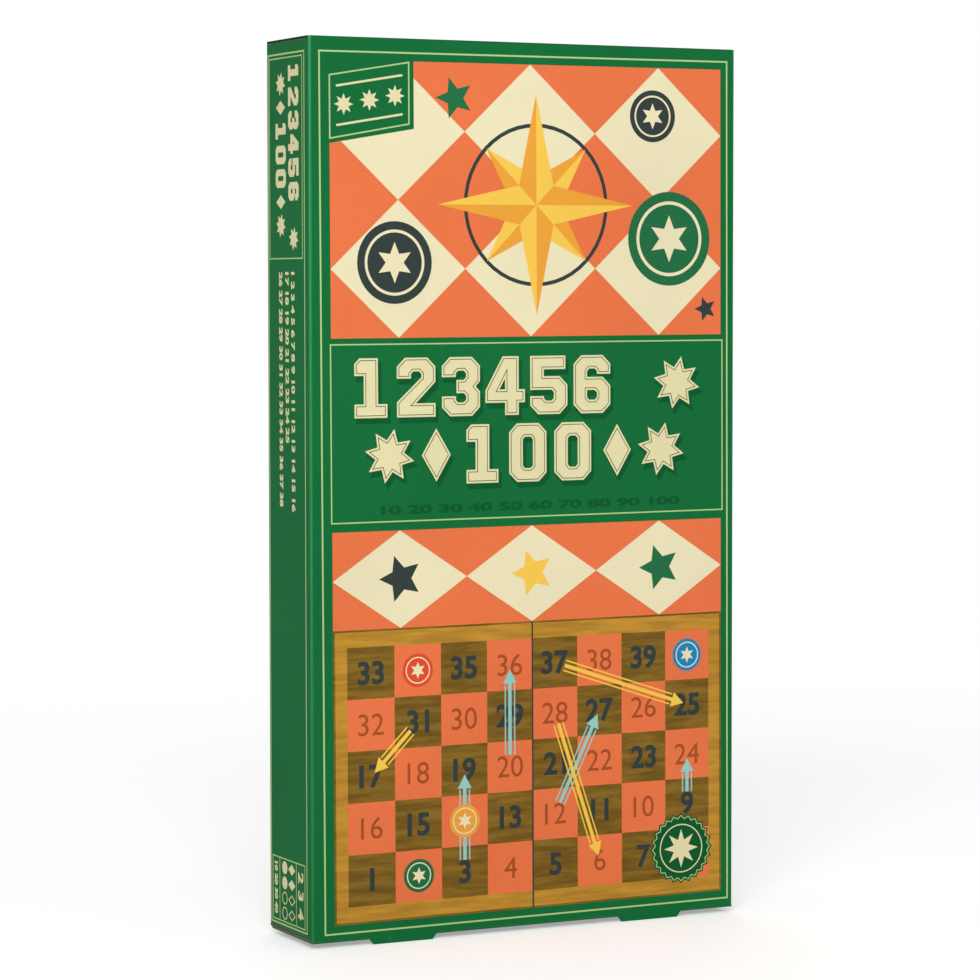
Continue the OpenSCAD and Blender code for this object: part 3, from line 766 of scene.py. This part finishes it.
SEAL_U, SEAL_V = 173.5, 345.0
SEAL_TEETH = 24
front.lay("dusk", 4, star(SEAL_U, SEAL_V, 15.4, 13.9, SEAL_TEETH))
front.lay("line", 5, star(SEAL_U, SEAL_V, 14.5, 13.1, SEAL_TEETH), line=0.35)
front.lay("title", 5, circle(SEAL_U, SEAL_V, 10.6), line=0.5)
front.lay("title", 5, star(SEAL_U, SEAL_V, 8.4, 3.9, 8))


# The other walls

QUARTER_TURN = math.radians(-90)
FINE_LINE = 0.5
SIDE_LEFT, SIDE_RIGHT = 2.0, 40.25

# Boxes on a narrow wall: left, top, right, foot, and the width of their line
SIDE_BOXES = [(SIDE_LEFT, FRAME_TOP, SIDE_RIGHT, FRAME_FOOT, HAIRLINE),
              (3.4, 7.5, 38.0, 90.5, FINE_LINE), (3.75, 340.25, 38.0, 367.25, FINE_LINE)]

# Rows of numbers that run down a narrow wall: first and last number, middle, length
SIDE_COUNTS = [(1, 16, 27.6, 99.0), (17, 25, 21.4, 70.7), (26, 38, 14.9, 97.4)]
SIDE_COUNTS_TOP = 95.8

# The two rows in its lowest box: text, middle, height, length
SIDE_TEXTS = [("2 3 4", 33.4, 5.2, 20.0), ("10 20 30 40", 7.5, 2.8, 22.0)]
SIDE_TEXTS_V = 353.75


def counted(first, last):
    return " ".join(str(count) for count in range(first, last + 1))


def side_print(sheet, shift):
    """The print of a narrow wall, moved right by the shift."""
    for u0, v0, u1, v1, line in SIDE_BOXES:
        sheet.lay("line", 1, box(u0 + shift, v0, u1 + shift, v1), line=line)
    for row, u, v0, v1 in zip(TITLE_ROWS, [28.8, 15.5], [9.5, 13.5], [87.0, 81.5]):
        for mark, v in spread(row, v0, v1):
            size = 12.4 if mark == "*" else 10.6
            sheet.lay("title", 2, glyph(mark, u + shift, v, size, turn=QUARTER_TURN))
    for first, last, u, length in SIDE_COUNTS:
        sheet.lay("title", 1, number(counted(first, last), u + shift,
                                     SIDE_COUNTS_TOP + length / 2, 3.3, 0.2, length,
                                     QUARTER_TURN))
    for text, u, size, length in SIDE_TEXTS:
        sheet.lay("title", 1, number(text, u + shift, SIDE_TEXTS_V, size, 0.2, length,
                                     QUARTER_TURN))
    for u in [11.25, 28.75]:
        sheet.lay("line", 1, bar(u + shift, 340.8, u + shift, 366.7, FINE_LINE))
    for index in range(4):
        v = 344.2 + 6.4 * index
        line = 0.0 if index < 2 else 0.45
        sheet.lay("title", 2, circle(16.6 + shift, v, 2.7, 32), line=line)
        sheet.lay("title", 2, diamond(24.0 + shift, v, 3.6, 2.3), line=line)


side_print(left, 0.0)
side_print(right, D - SIDE_LEFT - SIDE_RIGHT)

BACK_SQUARE = 16.6
BACK_LEFT, BACK_RIGHT = 12.0, 188.0
BACK_CHART = (BACK_LEFT, 104.0, BACK_RIGHT, 280.0)
back.lay("line", 1, box(W - FRAME_RIGHT, FRAME_TOP, W - FRAME_LEFT, FRAME_FOOT), line=HAIRLINE)
harlequin(back, (BACK_LEFT, 14.0, BACK_RIGHT, 92.0), 4, 2)
chart(back, BACK_CHART, 10, 10, BACK_SQUARE, 100.0 - 5 * BACK_SQUARE, 192.0 + 5 * BACK_SQUARE)
for index, ink in enumerate(["red", "amber", "leaf", "blue", "charcoal"]):
    counter(back, 40.0 + 30.0 * index, 306.0, 11.0, ink)
for index in range(4):
    row = counted(25 * index + 1, 25 * index + 25)
    back.lay("line", 1, number(row, 100.0, 328.0 + 8.0 * index, 2.8, 0.1, 164.0))
for sheet in [front, left, right, back]:
    sheet.done(ink_finishes)


# Wood, brass, paint and paper

def wood_finish(name, light, dark, stretch):
    """Planed wood: long fibres and growth bands along its grain, under a thin lacquer."""

    def varied(start):
        bands = noise(start, 60.0, 3.0, stretch, 0.5)
        fibres = noise(start, 900.0, 4.0, stretch, 0.7)
        grain = (bands * 0.65 + fibres * 0.35).ease(0.32, 0.68)
        pores = noise(start, 1500.0, 2.0, stretch).ease(0.62, 0.72)
        colour = grain.blend(dark, light)
        return {
            "Base Color": (pores * 0.5).blend(colour, shade(dark, 0.6)),
            "Roughness": fibres * 0.2 + 0.38,
            "Normal": relief(start, fibres - pores * 0.5, 0.25, 0.0002),
        }

    return finish_of(name, varied, Coat_Weight=0.15, Coat_Roughness=0.3)


def brass_finish():
    def varied(start):
        brushed = noise(start, 500.0, 3.0, (1.0, 1.0, 0.06))
        stain = noise(start, 90.0, 4.0).ease(0.55, 0.8)
        return {
            "Base Color": stain.blend(screen(214, 176, 96), screen(168, 126, 58)),
            "Roughness": brushed * 0.2 + stain * 0.12 + 0.18,
            "Normal": relief(start, brushed, 0.12, 0.0001),
        }

    return finish_of("brass", varied, Metallic=1.0)


def paint_finish(name, colour):
    """Dipped paint on turned wood: glossy, with faint turning lines and uneven cover."""

    def varied(start):
        turned = noise(start, 300.0, 2.0, (0.1, 0.1, 3.0))
        cover = noise(start, 120.0, 3.0)
        return {
            "Base Color": cover.blend(shade(colour, 0.86), shade(colour, 1.1)),
            "Roughness": cover * 0.16 + 0.2,
            "Normal": relief(start, turned, 0.1, 0.0002),
        }

    return finish_of(name, varied, Coat_Weight=0.5, Coat_Roughness=0.12)


# A die's pips are what lies that far under a flat face, in metres, and within that many half
# edges of the die's middle, which leaves out its rounded corners
PIP_UNDER, PIP_REACH = 0.04 * MM, 1.37


def die_finish():
    """Cream resin with dark pips."""
    low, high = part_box("die")
    middle, half = (low + high) / 2, (high.x - low.x) / 2

    def varied(start):
        away = start.node("ShaderNodeVectorMath", {"operation": "SUBTRACT"},
                          {0: place_of(start), 1: middle})
        x, y, z = [abs(part) for part in parts_of(start, away)]
        flat = start.math("MAXIMUM", start.math("MAXIMUM", x, y), z)
        pip = (flat < half - PIP_UNDER) * (length_of(start, away) < half * PIP_REACH)
        cloud = noise(start, 200.0, 3.0)
        cream = cloud.blend(screen(228, 214, 178), screen(242, 232, 204))
        return {
            "Base Color": pip.blend(cream, screen(44, 34, 30)),
            "Roughness": cloud * 0.12 + 0.2 + pip * 0.2,
            "Normal": relief(start, cloud, 0.05, 0.0002),
        }

    return finish_of("die_resin", varied, Coat_Weight=0.3)


def paper_finish():
    def varied(start):
        fibre = noise(start, 500.0, 4.0)
        return {
            "Base Color": fibre.blend(screen(226, 220, 202), screen(242, 238, 224)),
            "Roughness": fibre * 0.1 + 0.75,
            "Normal": relief(start, fibre, 0.15, 0.0001),
        }

    return finish_of("leaflet_paper", varied)


UPRIGHT_GRAIN = (1.0, 1.0, 0.06)
LEVEL_GRAIN = (0.06, 1.0, 1.0)
BEECH, BEECH_DARK = screen(214, 170, 108), screen(180, 130, 72)
STAINED, STAINED_DARK = screen(196, 144, 76), screen(150, 100, 44)
upright_wood = wood_finish("beech_upright", BEECH, BEECH_DARK, UPRIGHT_GRAIN)
level_wood = wood_finish("beech_level", BEECH, BEECH_DARK, LEVEL_GRAIN)
panel_wood = wood_finish("stained_panel", STAINED, STAINED_DARK, UPRIGHT_GRAIN)
brass = brass_finish()
for half in ["rear", "front"]:
    dress(half + "_play_panel", panel_wood)
    for wall in ["hinge", "clasp"]:
        dress(half + "_" + wall + "_wall", upright_wood)
    for wall in ["lower", "upper"]:
        dress(half + "_" + wall + "_wall", level_wood)
    dress("hinge_leaves_" + half, brass)
    dress("hinge_screws_" + half, brass)
for node in ["hinge_pins", "clasp_hook_lower", "clasp_hook_upper", "clasp_pivot_screws",
             "clasp_studs"]:
    dress(node, brass)
PAWN_COLOURS = {"red": (206, 52, 40), "green": (38, 126, 70), "blue": (36, 92, 172),
                "yellow": (242, 190, 54)}
for colour, channels in PAWN_COLOURS.items():
    dress("pawn_" + colour, paint_finish("paint_" + colour, screen(*channels)))
dress("die", die_finish())
dress("rules_leaflet", paper_finish())


# The playing field on the folding board, five columns on each half

BOARD_COLUMNS = 10
HALF_COLUMNS = 5
BORDER = 9.0

# Room between two squares for the line that is cut into the panel
LINE_ROOM = 0.8


def ladder(sheet, foot, head):
    """Two rails with rungs between them, from one point to another."""
    along = (head - foot).normalized()
    across = Vector((-along.y, along.x))
    for side in [-1, 1]:
        rail = across * side * 3.0
        sheet.lay("sky", 3, bar(*(foot + rail), *(head + rail), 1.0))
    rungs = round((head - foot).length / 5.0)
    for index in range(rungs):
        rung = foot + (head - foot) * (index + 0.5) / rungs
        sheet.lay("sky", 3, bar(*(rung - across * 2.5), *(rung + across * 2.5), 0.9))


def snake(sheet, head, tail, ink):
    """A spotted ribbon that winds from its head and tapers to its tail."""
    along = (tail - head).normalized()
    across = Vector((-along.y, along.x))
    steps, waves, swing, half_w = 48, 1.5, 5.5, 2.1
    middles = [head + (tail - head) * step / steps
               + across * swing * math.sin(math.tau * waves * step / steps)
               for step in range(steps + 1)]
    sides = [[], []]
    for index in range(steps):
        ahead = (middles[index + 1] - middles[index]).normalized()
        half = Vector((-ahead.y, ahead.x)) * half_w * (1 - index / steps) ** 0.5
        sides[0].append(middles[index] + half)
        sides[1].append(middles[index] - half)
    outline = sides[0] + [middles[-1]] + sides[1][::-1]
    sheet.lay(ink, 4, polygon([tuple(point) for point in outline]))
    for index in range(6, steps - 8, 4):
        sheet.lay("charcoal", 5, circle(*middles[index], 0.7, 12))
    sheet.lay(ink, 5, circle(*(head - along * 1.2), 3.1, 24))
    for side in [-1, 1]:
        sheet.lay("charcoal", 6, circle(*(head - along * 2.0 + across * side * 1.3), 0.55, 12))


def board_half(name, node, body, right, out, first_column, ladders, snakes):
    """Lays the stained squares, the numbers, the ladders and the snakes of one half."""
    low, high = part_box(node)
    face = low.y if out[1] < 0 else high.y
    corner_x = low.x if right[0] > 0 else high.x
    sheet = Sheet(name, body, "wood_play", (corner_x, face, high.z), right, out)
    square = ((high.z - low.z) / MM - 2 * BORDER) / BOARD_COLUMNS
    start_u = (high.x - low.x) / MM - HALF_COLUMNS * square if first_column == 0 else 0.0
    foot_v = (high.z - low.z) / MM - BORDER
    half = (square - LINE_ROOM) / 2
    middles = {}
    for count in range(1, BOARD_COLUMNS ** 2 + 1):
        u, v, step = square_middle(count, BOARD_COLUMNS, square, 0.0, foot_v)
        column = int(u // square)
        if first_column <= column < first_column + HALF_COLUMNS:
            u += start_u - first_column * square
            middles[count] = Vector((u, v))
            sheet.lay("orange" if step else "olive", 1,
                      box(u - half, v - half, u + half, v + half))
            sheet.lay("charcoal", 2, number(str(count), u, v, 11.0, 0.5))
    for foot, head in ladders:
        ladder(sheet, middles[foot], middles[head])
    for head, tail, ink in snakes:
        snake(sheet, middles[head], middles[tail], ink)
    sheet.done(ink_finishes)


board_half("front_field", "front_play_panel", "board_front", (1, 0, 0), (0, -1, 0), 0,
           [(2, 23), (40, 63), (44, 77)],
           [(99, 62, "yellow"), (85, 56, "leaf"), (39, 20, "amber"), (25, 5, "yellow")])
board_half("rear_field", "rear_play_panel", "board_rear", (-1, 0, 0), (0, 1, 0), HALF_COLUMNS,
           [(8, 29), (35, 55), (50, 72), (67, 88)],
           [(94, 75, "leaf"), (91, 70, "yellow"), (54, 33, "yellow"), (32, 14, "amber")])


# Floor, light and camera

def studio_white(start):
    """1 for the rays that show the backdrop: straight from the camera, or mirrored."""
    path = start.node("ShaderNodeLightPath")
    outputs = path.socket.node.outputs
    seen = [Wire(start.tree, outputs[name])
            for name in ["Is Camera Ray", "Is Glossy Ray", "Is Transmission Ray"]]
    return (seen[0] + seen[1] + seen[2]) > 0.5


WHITE, BLACK = (1.0, 1.0, 1.0, 1.0), (0.0, 0.0, 0.0, 1.0)
WORLD_LIGHT = 0.42
FLOOR_HALF = 6.0
FLOOR_GREY = (0.86, 0.86, 0.86, 1.0)
FLOOR_GLOW = 0.35

# The floor turns into the backdrop's white between these distances from its middle
FADE_FROM, FADE_TO = 0.45, 1.1

world = bpy.data.worlds.new("studio")
bpy.context.scene.world = world
world.use_nodes = True
world.node_tree.nodes.clear()
air = Wire(world.node_tree)
lit = air.node("ShaderNodeBackground", sockets={"Color": WHITE, "Strength": WORLD_LIGHT})
seen = air.node("ShaderNodeBackground", sockets={"Color": WHITE, "Strength": 1.0})
mixed = air.node("ShaderNodeMixShader", sockets={0: studio_white(air), 1: lit, 2: seen})
output = world.node_tree.nodes.new("ShaderNodeOutputWorld")
world.node_tree.links.new(mixed.socket, output.inputs["Surface"])

floor_shape = bmesh.new()
bmesh.ops.create_grid(floor_shape, x_segments=1, y_segments=1, size=FLOOR_HALF)
floor_mesh = bpy.data.meshes.new("floor")
floor_shape.to_mesh(floor_mesh)
floor_shape.free()
floor = bpy.data.objects.new("floor", floor_mesh)
bpy.context.scene.collection.objects.link(floor)
pale = bpy.data.materials.new("pale_floor")
pale.use_nodes = True
shader = pale.node_tree.nodes["Principled BSDF"]
shader.inputs["Base Color"].default_value = FLOOR_GREY
shader.inputs["Roughness"].default_value = 0.9
shader.inputs["Specular IOR Level"].default_value = 0.0
shader.inputs["Emission Strength"].default_value = FLOOR_GLOW
ground = Wire(pale.node_tree)
shown = studio_white(ground)
glow = shown.blend(BLACK, WHITE)
pale.node_tree.links.new(glow.socket, shader.inputs["Emission Color"])
away = length_of(ground, place_of(ground))
white = ground.node("ShaderNodeEmission", sockets={"Color": WHITE})
faded = ground.node("ShaderNodeMixShader",
                    sockets={0: away.ease(FADE_FROM, FADE_TO) * shown,
                             1: Wire(pale.node_tree, shader.outputs["BSDF"]), 2: white})
surface = pale.node_tree.nodes["Material Output"].inputs["Surface"]
pale.node_tree.links.new(faded.socket, surface)
floor.data.materials.append(pale)


def lamp(name, place, size, power, aim):
    """A square area light of that size and power, turned towards its aim."""
    light = bpy.data.lights.new(name, "AREA")
    light.shape = "SQUARE"
    light.size = size
    light.energy = power
    made = bpy.data.objects.new(name, light)
    made.location = place
    made.rotation_euler = (Vector(aim) - Vector(place)).to_track_quat("-Z", "Y").to_euler()
    bpy.context.scene.collection.objects.link(made)


CENTRE = (0.0, 0.0, 0.19)
lamp("key", (-0.8, -1.3, 1.15), 0.9, 17.0, (0.0, 0.0, 0.25))
lamp("fill", (1.7, -1.9, 0.9), 1.8, 4.5, CENTRE)
lamp("rear", (0.8, 2.0, 1.4), 1.6, 14.0, CENTRE)

camera = bpy.data.objects.new("camera", bpy.data.cameras.new("camera"))
camera.data.sensor_width = 36.0
camera.data.lens = 128.02
camera.location = (-0.6647, -1.32692, 0.26987)
camera.rotation_euler = (math.pi / 2 - 0.05661, 0.00097, -0.46025)
bpy.context.scene.collection.objects.link(camera)
bpy.context.scene.camera = camera
bpy.context.scene.view_settings.view_transform = "Standard"
